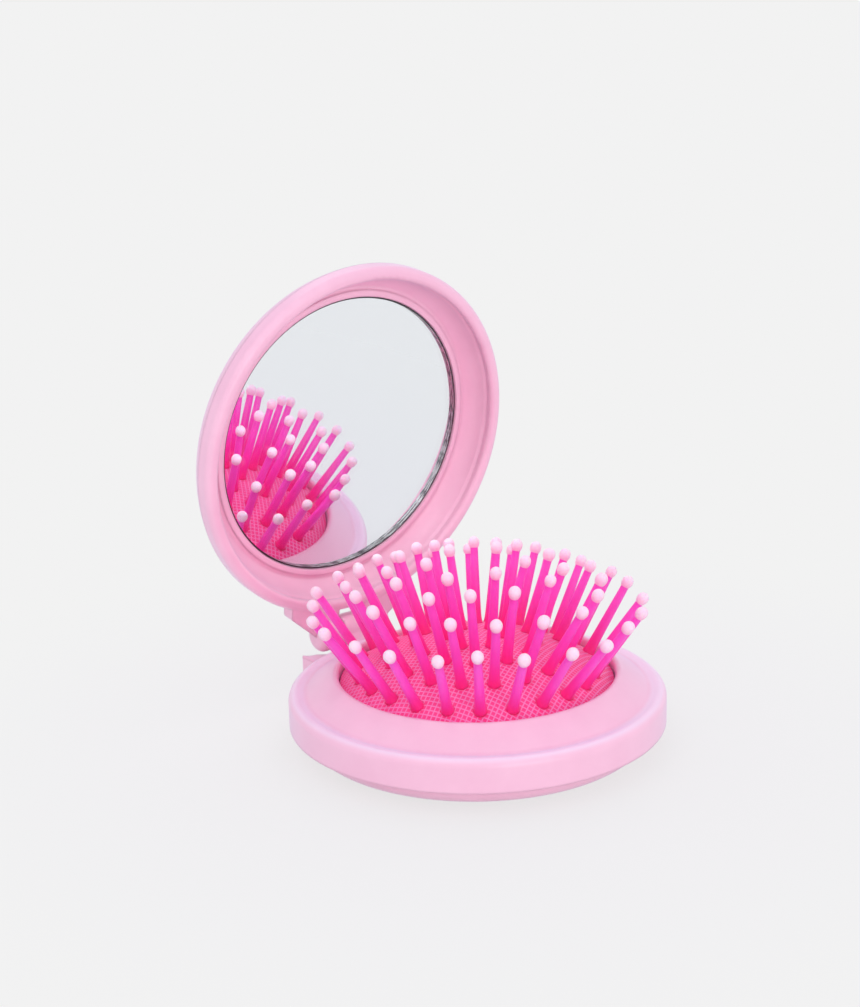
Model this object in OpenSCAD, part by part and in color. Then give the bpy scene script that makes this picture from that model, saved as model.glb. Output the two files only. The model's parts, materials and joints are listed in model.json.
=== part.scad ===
// Folding pocket hairbrush with a mirror in its lid.
//
// A round case opens like a compact. The lower half carries a domed rubber cushion with sixty
// ball-ended pins on a plate that is pushed up from the back, the upper half carries the mirror.
// Z is up, the origin is the centre of the base on the plane of its foot ring, and the hinge
// is at +Y with its axis along X. Everything is in millimetres.

/* [Case] */
// Outer radius of the base and its wall
case_r = 32.5; // [31.5:0.1:35]
// Thickness of the moulded skins
skin_t = 1.6; // [1.2:0.1:2]
// Height of the split between base and lid
split_z = 10; // [9.6:0.1:12]
// Height at which the straight wall ends and the back cover begins
seam_z = 4.4; // [3.8:0.05:5]
// Radius of the round bead along the top edge of the base
bead_r = 1.4; // [1:0.1:1.8]
// Width of the flat foot ring
foot_w = 1.4; // [1.2:0.1:1.8]
// Step by which the back cover stands back from the wall
cover_step = 2.6; // [2.2:0.1:3]
// Height of the straight edge of the back cover under the wall
cover_edge = 0.85; // [0.6:0.05:1.1]
// Radius that rounds the back cover
cover_round = 2.5; // [2:0.1:3]
// Thickness of the back cover
cover_t = 1.2; // [1:0.1:1.5]

/* [Collar] */
// Width of the collar from the outer wall to the brush opening
collar_w = 8.7; // [8.4:0.1:9.2]
// Height of the collar lip above the split
collar_rise = 3.05; // [2.4:0.05:3.4]
// Radius that rounds the lip
lip_round = 0.6; // [0.4:0.1:0.9]
// Slope of the collar down to the valley
collar_slope = 33.7; // [30:0.1:36]
// Radius of the fillet in the valley behind the bead
valley_round = 1.5; // [1:0.1:2]
// Thickness of the well tube that guides the push plate
well_t = 1.2; // [1:0.1:1.5]
// Number of ribs and of pegs round the base
rib_count = 12; // [6:1:18]
// Radius of the pegs that hold the back cover
peg_r = 1; // [0.8:0.1:1.2]

/* [Push plate] */
// Width of the flange that runs in the well
flange_w = 1.6; // [1.4:0.1:1.7]
// Radial gap between the flange and the well
run_gap = 0.3; // [0.2:0.05:0.4]
// Thickness of the flange and of the dish floor
plate_t = 1; // [0.8:0.1:1.2]
// Thickness of the dish wall
dish_t = 0.8; // [0.6:0.05:0.9]
// Gap under the flange when the plate is fully down
down_gap = 0.15; // [0.1:0.05:0.3]
// Gap between the flange and the collar when it is up
up_gap = 0.3; // [0.2:0.05:0.5]
// Number of grip grooves in the face that the thumb pushes
groove_count = 4; // [2:1:5]

/* [Cushion] */
// Radial gap between the cushion and the opening
cushion_gap = 0.3; // [0.2:0.05:0.4]
// Height of the cushion dome over its own edge
cushion_rise = 7.6; // [6:0.1:8.5]
// Depth of the cushion edge below the collar lip
cushion_drop = 1.6; // [1.4:0.05:1.9]
// Thickness of the rubber
cushion_t = 0.9; // [0.7:0.05:1]

/* [Pins] */
// Length of a pin from the cushion to the centre of its ball
pin_len = 13.9; // [12:0.1:14.2]
// Radius of a pin where it leaves the cushion
pin_root_r = 0.95; // [0.8:0.05:1]
// Radius of a pin under its ball
pin_top_r = 0.55; // [0.45:0.05:0.65]
// Radius of the ball end
ball_r = 1.08; // [0.9:0.02:1.15]
// Radius of the head that holds a pin under the rubber
head_r = 1.3; // [1.1:0.05:1.4]
// Thickness of that head
head_t = 0.5; // [0.4:0.05:0.6]
// Distance of the outermost ring of pins from the edge of the cushion
ring_in = 2.3; // [2.2:0.1:2.8]
// Radius of the innermost ring of pins
core_ring_r = 5.9; // [5.4:0.1:6.4]
// Angle by which the outermost pins lean outwards
pin_lean = 30; // [24:0.5:32]

/* [Hinge] */
// Distance of the hinge axis behind the wall
hinge_out = 4.35; // [4.1:0.05:5]
// Height of the hinge axis above the split
hinge_rise = 0.7; // [0.5:0.1:1.2]
// Radius of the hinge barrel
barrel_r = 3; // [2.6:0.1:3.2]
// Radius of the steel hinge pin
hinge_pin_r = 0.8; // [0.6:0.05:1]
// Half width of the middle knuckle on the base
knuckle_half = 2.6; // [2:0.1:3]
// Half width of the hinge at its axis
hinge_half = 7.8; // [7:0.1:9]
// Radius that rounds the outer ends of the two barrels
end_round = 1.3; // [0.8:0.1:1.6]
// Half width of the lugs where they leave the wall
lug_half = 13.6; // [12.4:0.1:14.4]
// Radius that rounds the corners of the lugs
lug_round = 1.2; // [0.8:0.1:1.6]
// Angle at which the lid stands open
lid_open = 81; // [0:0.1:180]

/* [Lid] */
// Overhang of the lid beyond the wall of the base
lid_over = 0.35; // [0:0.05:0.5]
// Gap between lid and base when shut
lid_gap = 0.15; // [0.1:0.05:0.3]
// Length of the straight wall of the lid, with its rounded rim
lid_wall = 3.1; // [2.8:0.1:3.6]
// Radius that rounds the outside of the lid rim
rim_round = 1.15; // [0.9:0.05:1.3]
// Radius of the crest along the inside of the lid rim
crest_r = 0.8; // [0.6:0.05:1]
// Height of the lid from its rim to its back
lid_depth = 10.3; // [10:0.1:12]
// Radius of the shallow dome of the back of the lid
dome_r = 230; // [180:5:280]
// Radius that rounds the back of the lid into its wall
back_round = 7.6; // [6:0.2:9]
// Wall of the lid back at the step where it meets the frame
back_wall = 1.2; // [1:0.1:1.5]

/* [Mirror] */
// Distance of the edge of the mirror from the outside of the lid
mirror_in = 6.85; // [6.6:0.05:7.4]
// Thickness of the glass
mirror_t = 1.2; // [1:0.1:1.4]
// Depth of the glass below the lid rim
mirror_deep = 5.75; // [5.5:0.05:6]
// Width of the flat lip round the mirror
bezel_w = 1.2; // [1:0.1:1.4]
// Height of that lip over the glass
bezel_rise = 0.35; // [0.2:0.05:0.5]
// Radius of the hollow between that lip and the rim
cove_r = 6.2; // [5:0.2:12]
// Thickness of the adhesive pad behind the mirror
tape_t = 0.4; // [0.3:0.05:0.5]

/* [Hidden] */
$fn = 96;
// number of pins in each ring, from the outside in, and the turn of each ring in degrees
ring_pins = [24, 18, 12, 6];
ring_turn = [6.3, 0.6, 19.5, 20.6];
ring_names = ["outer", "second", "third", "core"];
pins_in_pair = 2;

function pair_count(k) = ring_pins[k] / pins_in_pair;
function pair_name(k, i) = str("pins_", ring_names[k], "_", i + 1);
PAIR_NODES = [for (k = [0:2]) for (i = [0:pair_count(k) - 1]) pair_name(k, i)];

// small clearances and overlaps that several pieces share
fit = 0.05;          // radial clearance of pins in their bores
seat = 0.1;          // gap between pieces that are glued or snapped together
eps = 0.01;          // overlap of cuts with the faces that they open

// radii of the base from the wall inwards
opening_r = case_r - collar_w;
dish_r = opening_r - seat;
flange_r = dish_r + flange_w;
well_r = flange_r + run_gap;
foot_in_r = dish_r + 0.3;
foot_r = foot_in_r + foot_w;
cover_r = case_r - cover_step;

// base
lip_z = split_z + collar_rise;
wall_in_r = case_r - skin_t;
cushion_r = opening_r - cushion_gap;
cushion_edge_z = lip_z - cushion_drop;
rim_top_z = cushion_edge_z - cushion_t;
stop_z = rim_top_z + up_gap;
well_out_r = well_r + well_t;
cavity_top_z = split_z - skin_t - 0.6;
peg_ring_r = well_out_r + peg_r + 0.3;
boss_r = (wall_in_r - well_out_r) / 2 + 0.2;
peg_len = 3;
cover_c = [cover_r - cover_round, seam_z - cover_edge];
cover_f = [foot_r, 0];
cover_p = touch(cover_f, cover_c, cover_round);
cover_slope = cover_p[1] / (cover_p[0] - foot_r);
inner_slope = (cover_c[1] - cover_t) / (cover_r - cover_t - foot_r);
tube_z = cover_t + (well_out_r - foot_r) * inner_slope + seat;
// the pegs start just inside the outer face of the cover
peg_out_r = peg_ring_r + peg_r;
peg_z = 0.15 + (peg_out_r < cover_p[0]
                ? (peg_out_r - foot_r) * cover_slope
                : cover_c[1] - sqrt(pow(cover_round, 2) - pow(peg_out_r - cover_c[0], 2)));

// collar, bead and the fillet between them, in the plane of radius and height
bead_c = [case_r - bead_r, split_z - bead_r];
lip_c = [opening_r + lip_round, lip_z - lip_round];
slope_u = [cos(collar_slope), -sin(collar_slope)];
slope_n = [sin(collar_slope), cos(collar_slope)];
slope_start = lip_c + lip_round * slope_n;
fillet_w = slope_start + valley_round * slope_n - bead_c;
fillet_s = -fillet_w * slope_u
           - sqrt(pow(fillet_w * slope_u, 2) - fillet_w * fillet_w + pow(bead_r + valley_round, 2));
fillet_c = slope_start + valley_round * slope_n + fillet_s * slope_u;
fillet_a = fillet_c - valley_round * slope_n;
fillet_b = bead_c + (fillet_c - bead_c) * bead_r / (bead_r + valley_round);

// lid and mirror, in the shut position
lid_r = case_r + lid_over;
mirror_r = lid_r - mirror_in;
lid_rim_z = split_z + lid_gap;
lid_seam_z = lid_rim_z + lid_wall;
lid_top_z = lid_rim_z + lid_depth;
mirror_z = lid_rim_z + mirror_deep;
silver_t = 0.08;
back_step = 0.15;
silver_z = mirror_z + mirror_t;
tape_z = silver_z + silver_t;
tape_top_z = tape_z + tape_t;
tape_r = mirror_r - 3;
bezel_in_r = mirror_r + seat;
bezel_out_r = bezel_in_r + bezel_w;
bezel_z = mirror_z - bezel_rise;
groove_w = 0.7;
groove_deep = 0.4;
groove_p = [bezel_out_r + groove_w, bezel_z + groove_deep];
crest_c = [lid_r - rim_round - crest_r * 0.55, lid_rim_z + crest_r];
// the hollow runs from the groove and touches the crest
cove_d = norm(crest_c - groove_p);
cove_u = (crest_c - groove_p) / cove_d;
cove_n = [-cove_u[1], cove_u[0]];
cove_a = (pow(cove_r, 2) - pow(cove_r + crest_r, 2) + pow(cove_d, 2)) / (2 * cove_d);
cove_c = groove_p + cove_a * cove_u - sqrt(pow(cove_r, 2) - pow(cove_a, 2)) * cove_n;
ledge_z = mirror_z + 0.7;
spigot_foot_r = lid_r - skin_t;
// the corner of the lid back starts at the seam and touches the dome from inside
back_p = [lid_r - back_step, lid_seam_z + seat];
dome_c = [0, lid_top_z - dome_r];
back_d = norm(back_p - dome_c);
back_u = (back_p - dome_c) / back_d;
back_n = [-back_u[1], back_u[0]];
back_far = dome_r - back_round;
back_a = (pow(back_far, 2) - pow(back_round, 2) + pow(back_d, 2)) / (2 * back_d);
back_c = dome_c + back_a * back_u + sqrt(pow(back_far, 2) - pow(back_a, 2)) * back_n;
back_t = dome_c + (back_c - dome_c) * dome_r / back_far;
spigot_r = back_c[0] + sqrt(pow(back_round, 2) - pow(ledge_z - back_c[1], 2)) - back_wall - seat;

// cushion and pins
sphere_r = (pow(cushion_r, 2) + pow(cushion_rise, 2)) / (2 * cushion_rise);
sphere_z = cushion_edge_z + cushion_rise - sphere_r;
head_gap = 0.12;
floor_gap = 0.35;
tip_gap = 0.4;
root_down_z = mirror_z - tip_gap - ball_r - pin_len;
flange_z = rim_top_z - plate_t;
plate_travel = flange_z - cover_t - down_gap;
pin_tail = cushion_t + head_gap + head_t;
dish_floor_z = root_down_z - pin_tail - floor_gap + plate_travel;
dish_in_r = dish_r - dish_t;
ring_r = cushion_r - ring_in;
ring_step = (ring_r - core_ring_r) / (len(ring_pins) - 1);
vent_r = 0.8;

function ring_radius(k) = ring_r - k * ring_step;
function dome_z(r) = sphere_z + sqrt(pow(sphere_r, 2) - pow(r, 2));
function ring_lean(k) = pin_lean * ring_radius(k) / ring_r;
function pin_turn(k, j) = ring_turn[k] + j * 360 / ring_pins[k];

// hinge
hinge_y = case_r + hinge_out;
hinge_z = split_z + hinge_rise;
knuckle_gap = 0.2;
arm_in = knuckle_half + knuckle_gap;
arm_gap = 0.35;
shoulder_in = hinge_half + knuckle_gap;
lug_root_y = case_r - 6.5;
slot_deep = barrel_r + 1.6;
saddle_r = 28.8;
saddle_deep = 3.75;
pin_end_in = 1.4;

// where a line from point f touches the lower side of a circle of radius r round c
function touch(f, c, r) =
    let (d = norm(c - f),
         a = atan2(c[1] - f[1], c[0] - f[0]) - asin(r / d),
         l = sqrt(d * d - r * r))
    f + l * [cos(a), sin(a)];

// turns what is modelled in the shut position to the angle at which the lid stands open
module opened() {
    translate([0, hinge_y, hinge_z])
        rotate([-lid_open, 0, 0])
            translate([0, -hinge_y, -hinge_z])
                children();
}

// a solid along X between two half widths, on both sides of the middle
module both_sides(from, to) {
    for (side = [-1, 1])
        translate([side > 0 ? from : -to, 0, 0])
            rotate([90, 0, 90])
                linear_extrude(to - from)
                    children();
}

// plan of a hinge lug: wide at the wall, with round corners, and narrowing to the barrel
module lug_plan(corner_y) {
    c = [lug_half - lug_round, corner_y];
    t = touch([hinge_half, -hinge_y], [c[0], -c[1]], lug_round);
    polygon([[-lug_half, lug_root_y],
             [lug_half, lug_root_y],
             [lug_half, c[1]],
             c,
             [t[0], -t[1]],
             [hinge_half, hinge_y],
             [-hinge_half, hinge_y],
             [-t[0], -t[1]],
             [-c[0], c[1]],
             [-lug_half, c[1]]]);
    for (side = [-1, 1])
        translate([side * c[0], c[1]])
            circle(lug_round);
}

// ---------------------------------------------------------------- base

module base_outline() {
    difference() {
        union() {
            polygon([[opening_r, stop_z],
                     [opening_r, lip_c[1]],
                     lip_c,
                     slope_start,
                     fillet_a,
                     fillet_c,
                     fillet_b,
                     bead_c,
                     [case_r, bead_c[1]],
                     [case_r, seam_z],
                     [well_r, seam_z],
                     [well_r, stop_z]]);
            translate(lip_c)
                circle(lip_round);
            translate(bead_c)
                circle(bead_r);
        }
        translate(fillet_c)
            circle(valley_round);
    }
    translate([well_r, tube_z])
        square([well_t, seam_z]);
}

module base_cavity() {
    difference() {
        rotate_extrude()
            translate([well_out_r, 0])
                square([wall_in_r - well_out_r, cavity_top_z]);
        for (i = [0:rib_count - 1])
            rotate(i * 360 / rib_count) {
                translate([well_out_r - 1, -0.5, 0])
                    cube([wall_in_r - well_out_r + 2, 1, cavity_top_z + 1]);
                if (i % 2 == 0)
                    translate([peg_ring_r, 0, 0])
                        cylinder(r = boss_r, h = cavity_top_z + 1);
            }
    }
}

// the lug under the barrel, its two shoulders and the middle knuckle with its web
module base_lug() {
    low_z = seam_z + 0.2;
    top_z = split_z - 0.7;
    difference() {
        intersection() {
            translate([0, 0, low_z])
                linear_extrude(top_z - low_z)
                    lug_plan(case_r + 0.1);
            rotate([90, 0, 90])
                translate([0, 0, -lug_half - 1])
                    linear_extrude(2 * lug_half + 2)
                        polygon([[lug_root_y, low_z],
                                 [hinge_y - 3, low_z],
                                 [hinge_y, low_z + 1.4],
                                 [hinge_y, top_z],
                                 [lug_root_y, top_z]]);
        }
        // saddle that gives the lug of the lid room to swing
        translate([0, lug_root_y, split_z - saddle_deep + saddle_r])
            rotate([-90, 0, 0])
                cylinder(r = saddle_r, h = hinge_y, $fn = 180);
    }
    translate([-knuckle_half, 0, 0])
        rotate([90, 0, 90])
            linear_extrude(2 * knuckle_half) {
                translate([hinge_y, hinge_z])
                    circle(barrel_r);
                polygon([[lug_root_y, low_z],
                         [hinge_y - 3, low_z],
                         [hinge_y, low_z + 1.4],
                         [hinge_y + barrel_r * cos(30), hinge_z - barrel_r * sin(30)],
                         [hinge_y, hinge_z],
                         [hinge_y - barrel_r, hinge_z],
                         [hinge_y - barrel_r - 0.6, split_z - 0.4],
                         [lug_root_y, split_z - 0.4]]);
            }
}

module base_shell() {
    color("pink")
        difference() {
            union() {
                rotate_extrude()
                    base_outline();
                difference() {
                    base_lug();
                    translate([0, 0, -eps])
                        cylinder(r = case_r - bead_r, h = split_z);
                }
            }
            base_cavity();
            // room for the barrels of the two lid arms
            both_sides(knuckle_half, shoulder_in)
                translate([hinge_y, hinge_z])
                    circle(barrel_r + arm_gap);
            // bore of the hinge pin
            translate([-knuckle_half - 1, hinge_y, hinge_z])
                rotate([0, 90, 0])
                    cylinder(r = hinge_pin_r + fit, h = 2 * knuckle_half + 2);
            // bores of the pegs
            for (i = [0:2:rib_count - 1])
                rotate(i * 360 / rib_count)
                    translate([peg_ring_r, 0, 0])
                        cylinder(r = peg_r + fit, h = seam_z + peg_len + 0.3);
        }
}

module cover_outline() {
    c = cover_c;
    spigot_in_r = cover_r - cover_t;
    difference() {
        union() {
            polygon([[foot_in_r, 0],
                     cover_f,
                     cover_p,
                     c,
                     [cover_r, c[1]],
                     [cover_r, seam_z],
                     [foot_in_r, seam_z]]);
            translate(c)
                circle(cover_round);
            translate([spigot_in_r, seam_z])
                square([wall_in_r - seat - spigot_in_r, 2]);
        }
        // inside of the cover
        polygon([[foot_in_r - 1, cover_t],
                 [foot_r, cover_t],
                 [spigot_in_r, c[1]],
                 [spigot_in_r, seam_z + 3],
                 [foot_in_r - 1, seam_z + 3]]);
    }
}

module back_cover() {
    color("hotpink") {
        difference() {
            rotate_extrude()
                cover_outline();
            // notches in the spigot for the ribs and bosses of the shell
            for (i = [0:rib_count - 1])
                rotate(i * 360 / rib_count)
                    translate([well_out_r, -boss_r - 0.2, seam_z - seat])
                        cube([wall_in_r - well_out_r, 2 * boss_r + 0.4, 3]);
        }
        for (i = [0:2:rib_count - 1])
            rotate(i * 360 / rib_count)
                translate([peg_ring_r, 0, peg_z])
                    cylinder(r = peg_r, h = seam_z + peg_len - peg_z);
    }
}

module hinge_pin() {
    color("silver")
        translate([-hinge_half + pin_end_in, hinge_y, hinge_z])
            rotate([0, 90, 0])
                cylinder(r = hinge_pin_r, h = 2 * (hinge_half - pin_end_in));
}

// ---------------------------------------------------------------- brush

module push_plate() {
    bottom = dish_floor_z - plate_t;
    color("hotpink")
        difference() {
            rotate_extrude() {
                translate([0, bottom])
                    square([dish_r, plate_t]);
                translate([dish_in_r, bottom])
                    square([dish_t, rim_top_z - bottom]);
                translate([dish_in_r, flange_z])
                    square([flange_r - dish_in_r, plate_t]);
            }
            // grip grooves under the thumb
            for (i = [1:groove_count])
                translate([0, 0, bottom])
                    rotate_extrude()
                        translate([i * (dish_r - 2) / (groove_count + 1), 0])
                            circle(0.35, $fn = 24);
            // vent of the air chamber
            translate([0, 0, bottom - 1])
                cylinder(r = vent_r, h = plate_t + 2);
        }
}

// places its children at the root of pin j of ring k, with Z along the pin
module at_root(k, j) {
    rotate([0, 0, pin_turn(k, j)])
        translate([ring_radius(k), 0, dome_z(ring_radius(k))])
            rotate([0, ring_lean(k), 0])
                children();
}

module cushion() {
    color("deeppink")
        difference() {
            rotate_extrude() {
                intersection() {
                    difference() {
                        translate([0, sphere_z])
                            circle(sphere_r, $fn = 180);
                        translate([0, sphere_z])
                            circle(sphere_r - cushion_t, $fn = 180);
                    }
                    translate([0, rim_top_z])
                        square([cushion_r, 2 * cushion_rise]);
                }
                translate([dish_in_r, rim_top_z])
                    square([cushion_r - dish_in_r, cushion_t]);
            }
            for (k = [0:len(ring_pins) - 1])
                for (j = [0:ring_pins[k] - 1])
                    at_root(k, j)
                        translate([0, 0, -cushion_t - 1])
                            cylinder(r = pin_root_r + fit, h = cushion_t + 3, $fn = 32);
        }
}

// one ball-ended pin: head, neck in the rubber, tapered shaft and ball
module pin() {
    translate([0, 0, -pin_tail])
        cylinder(r = head_r, h = head_t, $fn = 32);
    translate([0, 0, -pin_tail])
        cylinder(r = pin_root_r, h = pin_tail, $fn = 32);
    cylinder(r1 = pin_root_r, r2 = pin_top_r, h = pin_len, $fn = 32);
    translate([0, 0, pin_len])
        sphere(ball_r, $fn = 32);
}

module pin_pair(k, i) {
    color("magenta")
        for (j = [0:pins_in_pair - 1])
            at_root(k, pins_in_pair * i + j)
                pin();
}

module pins_core() {
    k = len(ring_pins) - 1;
    color("magenta")
        for (j = [0:ring_pins[k] - 1])
            at_root(k, j)
                pin();
}

// ---------------------------------------------------------------- lid, drawn shut

// wall of the lid with its rounded rim, hollowed towards the mirror
module lid_wall_outline() {
    difference() {
        union() {
            polygon([groove_p,
                     crest_c,
                     [crest_c[0], lid_rim_z],
                     [lid_r - rim_round, lid_rim_z],
                     [lid_r - rim_round, lid_rim_z + rim_round],
                     [lid_r, lid_rim_z + rim_round],
                     [lid_r, lid_seam_z],
                     [spigot_foot_r, lid_seam_z],
                     [spigot_r, ledge_z - seat],
                     [groove_p[0], ledge_z - seat]]);
            translate(crest_c)
                circle(crest_r);
            translate([lid_r - rim_round, lid_rim_z + rim_round])
                circle(rim_round);
        }
        translate(cove_c)
            circle(cove_r, $fn = 180);
    }
}

module lid_outline() {
    lid_wall_outline();
    // lip round the glass and the seat behind it
    polygon([[bezel_in_r, bezel_z],
             [bezel_out_r, bezel_z],
             [bezel_out_r, groove_p[1]],
             [groove_p[0] + 0.6, groove_p[1]],
             [groove_p[0] + 0.6, ledge_z - seat],
             [bezel_in_r, ledge_z - seat]]);
}

// one of the two barrels of the lid along Z, with its outer end rounded
module barrel(length) {
    rotate_extrude() {
        square([barrel_r, length - end_round]);
        square([barrel_r - end_round, length]);
        translate([barrel_r - end_round, length - end_round])
            circle(end_round);
    }
}

// the lug of the lid with its two barrels, drawn shut
module lid_lug() {
    low_z = lid_rim_z + 0.3;
    top_z = lid_seam_z - 0.2;
    intersection() {
        translate([0, 0, low_z])
            linear_extrude(top_z - low_z)
                lug_plan(lid_r - 1.6);
        // its back slopes up to the top of the barrels
        rotate([90, 0, 90])
            translate([0, 0, -lug_half - 1])
                linear_extrude(2 * lug_half + 2)
                    polygon([[lug_root_y, low_z],
                             [hinge_y, low_z],
                             [hinge_y, hinge_z + 1],
                             [hinge_y - 1, top_z],
                             [lug_root_y, top_z]]);
    }
    for (side = [-1, 1])
        translate([side * arm_in, hinge_y, hinge_z])
            rotate([0, side * 90, 0])
                barrel(hinge_half - arm_in);
}

module lid_frame() {
    color("pink")
        opened()
            difference() {
                union() {
                    rotate_extrude()
                        lid_outline();
                    difference() {
                        lid_lug();
                        translate([0, 0, -eps])
                            cylinder(r = crest_c[0], h = lid_top_z);
                    }
                }
                // slot for the middle knuckle
                translate([-arm_in, hinge_y - slot_deep, 0])
                    cube([2 * arm_in, 2 * slot_deep, lid_top_z]);
                // bore of the hinge pin, open at one end only
                translate([-hinge_half + pin_end_in - seat, hinge_y, hinge_z])
                    rotate([0, 90, 0])
                        cylinder(r = hinge_pin_r + fit, h = 2 * hinge_half);
            }
}

// the dome that closes the lid, above its seam with the frame
module lid_back_outline() {
    low_z = back_p[1];
    intersection() {
        union() {
            intersection() {
                polygon([[0, low_z],
                         [0, lid_top_z + 1],
                         [back_t[0], lid_top_z + 1],
                         back_t,
                         back_c,
                         [back_c[0], low_z]]);
                translate(dome_c)
                    circle(dome_r, $fn = 360);
            }
            translate(back_c)
                circle(back_round);
        }
        translate([0, low_z])
            square([lid_r, lid_depth]);
    }
}

module lid_back() {
    color("pink")
        opened()
            difference() {
                union() {
                    rotate_extrude()
                        lid_back_outline();
                    translate([0, 0, back_p[1]])
                        cylinder(r = tape_r, h = 3);
                }
                // room for the tapered spigot of the frame
                translate([0, 0, lid_seam_z])
                    cylinder(r1 = spigot_foot_r + seat, r2 = spigot_r + seat, h = ledge_z - lid_seam_z);
                // room for the mirror and its pad
                cylinder(r = bezel_in_r, h = tape_top_z);
            }
}

module mirror_glass() {
    color("lightblue")
        opened()
            translate([0, 0, mirror_z])
                cylinder(r = mirror_r, h = mirror_t);
}

module mirror_silvering() {
    color("silver")
        opened()
            translate([0, 0, silver_z])
                cylinder(r = mirror_r - 0.2, h = silver_t);
}

module mirror_tape() {
    color("white")
        opened()
            translate([0, 0, tape_z])
                cylinder(r = tape_r, h = tape_t);
}

base_shell();
back_cover();
hinge_pin();
push_plate();
cushion();
lid_frame();
lid_back();
mirror_glass();
mirror_silvering();
mirror_tape();
pins_core();
for (k = [0:2])
    for (i = [0:pair_count(k) - 1])
        pin_pair(k, i);
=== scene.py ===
# %% [markdown]
# # A folding pocket hairbrush with a mirror
#
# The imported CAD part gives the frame: its bodies, joints and solids. This script dresses it. The
# moulded case keeps its CAD shapes and gets a finish; the lid's back, the rubber cushion, the
# sixty pins and the mirror get pieces of their own, which ride on the same bodies as the solids
# they stand for. Blender works in metres; the factor `mm` keeps the drawing sizes readable.

# %% Start
import json
import math

import bmesh
import bpy
from mathutils import Matrix, Vector, noise


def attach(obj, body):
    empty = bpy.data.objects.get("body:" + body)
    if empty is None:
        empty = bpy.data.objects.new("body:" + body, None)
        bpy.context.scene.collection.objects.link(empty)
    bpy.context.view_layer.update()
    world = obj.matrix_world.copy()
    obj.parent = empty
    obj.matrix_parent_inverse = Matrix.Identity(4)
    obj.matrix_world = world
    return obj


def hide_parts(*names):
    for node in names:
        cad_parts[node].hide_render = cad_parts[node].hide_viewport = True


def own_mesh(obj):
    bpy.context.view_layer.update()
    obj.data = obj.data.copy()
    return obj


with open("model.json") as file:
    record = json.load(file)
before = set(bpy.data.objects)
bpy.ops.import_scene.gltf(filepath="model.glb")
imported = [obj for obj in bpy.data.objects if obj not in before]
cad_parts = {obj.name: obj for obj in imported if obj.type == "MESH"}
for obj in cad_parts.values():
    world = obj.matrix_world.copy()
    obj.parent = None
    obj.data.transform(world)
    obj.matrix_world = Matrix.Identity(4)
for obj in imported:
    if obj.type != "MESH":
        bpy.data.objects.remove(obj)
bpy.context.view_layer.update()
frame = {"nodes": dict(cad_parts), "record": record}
nodes = frame["nodes"]
mm = 0.001

# %% [markdown]
# ## Helpers for materials
#
# Every material of the brush is a Principled shader whose uniform values are set on its own
# sockets; nodes are added only for what changes over the surface. They could be placed one by one
# in the editor, but a few helpers let each material be read from top to bottom instead. Colours
# are written as the six hex digits of a paint chart, which are sRGB, and shaders want linear ones.

# %% Shader and node helpers
def srgb(text):
    """Linear colour of a six-digit hex text."""
    out = []
    for i in (0, 2, 4):
        c = int(text[i:i + 2], 16) / 255
        out.append(c / 12.92 if c <= 0.04045 else ((c + 0.055) / 1.055) ** 2.4)
    return (*out, 1.0)


def principled(name, **values):
    """A new material with these values set on its Principled shader."""
    mat = bpy.data.materials.new(name)
    mat.use_nodes = True
    shader = mat.node_tree.nodes["Principled BSDF"]
    for key, value in values.items():
        shader.inputs[key.replace("_", " ")].default_value = value
    return mat, mat.node_tree, shader


def add(tree, kind, feeds=None, **values):
    """A new shader node with input values, and links from other sockets into its inputs."""
    node = tree.nodes.new("ShaderNode" + kind)
    for key, value in values.items():
        node.inputs[key.replace("_", " ")].default_value = value
    for key, socket in (feeds or {}).items():
        tree.links.new(socket, node.inputs[key])
    return node


def give(tree, target, value):
    """Links a socket into an input, or sets the input to a plain value."""
    if isinstance(value, bpy.types.NodeSocket):
        tree.links.new(value, target)
    else:
        target.default_value = value


print("grey of F2F2F2 in linear values:", round(srgb("F2F2F2")[0], 3))

# %% [markdown]
# ## Places and arithmetic
#
# What changes over a surface is a chain of small nodes: a place, some arithmetic, a soft step and
# a mix. Each could be wired by hand with its own lines, but a helper for each link, which takes
# and returns sockets, keeps a chain as short as a formula. The first two say where a point lies:
# on the part, in metres, or on the piece's own map.

# %% Place and arithmetic helpers
def own_place(tree):
    """The Object coordinates: metres from the origin of the part."""
    return tree.nodes.new("ShaderNodeTexCoord").outputs["Object"]


def own_map(tree):
    """The two coordinates of the piece's own UV map."""
    node = tree.nodes.new("ShaderNodeUVMap")
    node.uv_map = "along"
    return node.outputs["UV"]


def calc(tree, operation, a, b):
    """Result of a Math node on two sockets or numbers."""
    node = tree.nodes.new("ShaderNodeMath")
    node.operation = operation
    give(tree, node.inputs[0], a)
    give(tree, node.inputs[1], b)
    return node.outputs[0]


def length(tree, vector):
    """Length of a vector socket."""
    node = tree.nodes.new("ShaderNodeVectorMath")
    node.operation = "LENGTH"
    tree.links.new(vector, node.inputs[0])
    return node.outputs["Value"]


print("place helpers:", own_place.__name__, "and", own_map.__name__)

# %% [markdown]
# ## Steps, mixes and relief
#
# A hard step between two tones shows as a jagged line, so the Map Range node makes soft ones, and
# a Mix node lays one colour over another. Fine relief could be modelled or displaced, but a Bump
# node only bends the shading, which is enough for a grain far smaller than the mesh's faces.

# %% Step, mix and relief helpers
def mix(tree, factor, a, b):
    """Mixes two colours or sockets by a factor socket, on the node's sockets for colours."""
    node = tree.nodes.new("ShaderNodeMix")
    node.data_type = "RGBA"
    tree.links.new(factor, node.inputs["Factor"])
    give(tree, node.inputs[6], a)
    give(tree, node.inputs[7], b)
    return node.outputs[2]


def smooth_range(tree, value, start, stop):
    """0 before start and 1 past stop, with a soft step between; stop may be the smaller one."""
    node = add(tree, "MapRange", {"Value": value}, From_Min=start, From_Max=stop)
    node.interpolation_type = "SMOOTHSTEP"
    return node.outputs["Result"]


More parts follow.
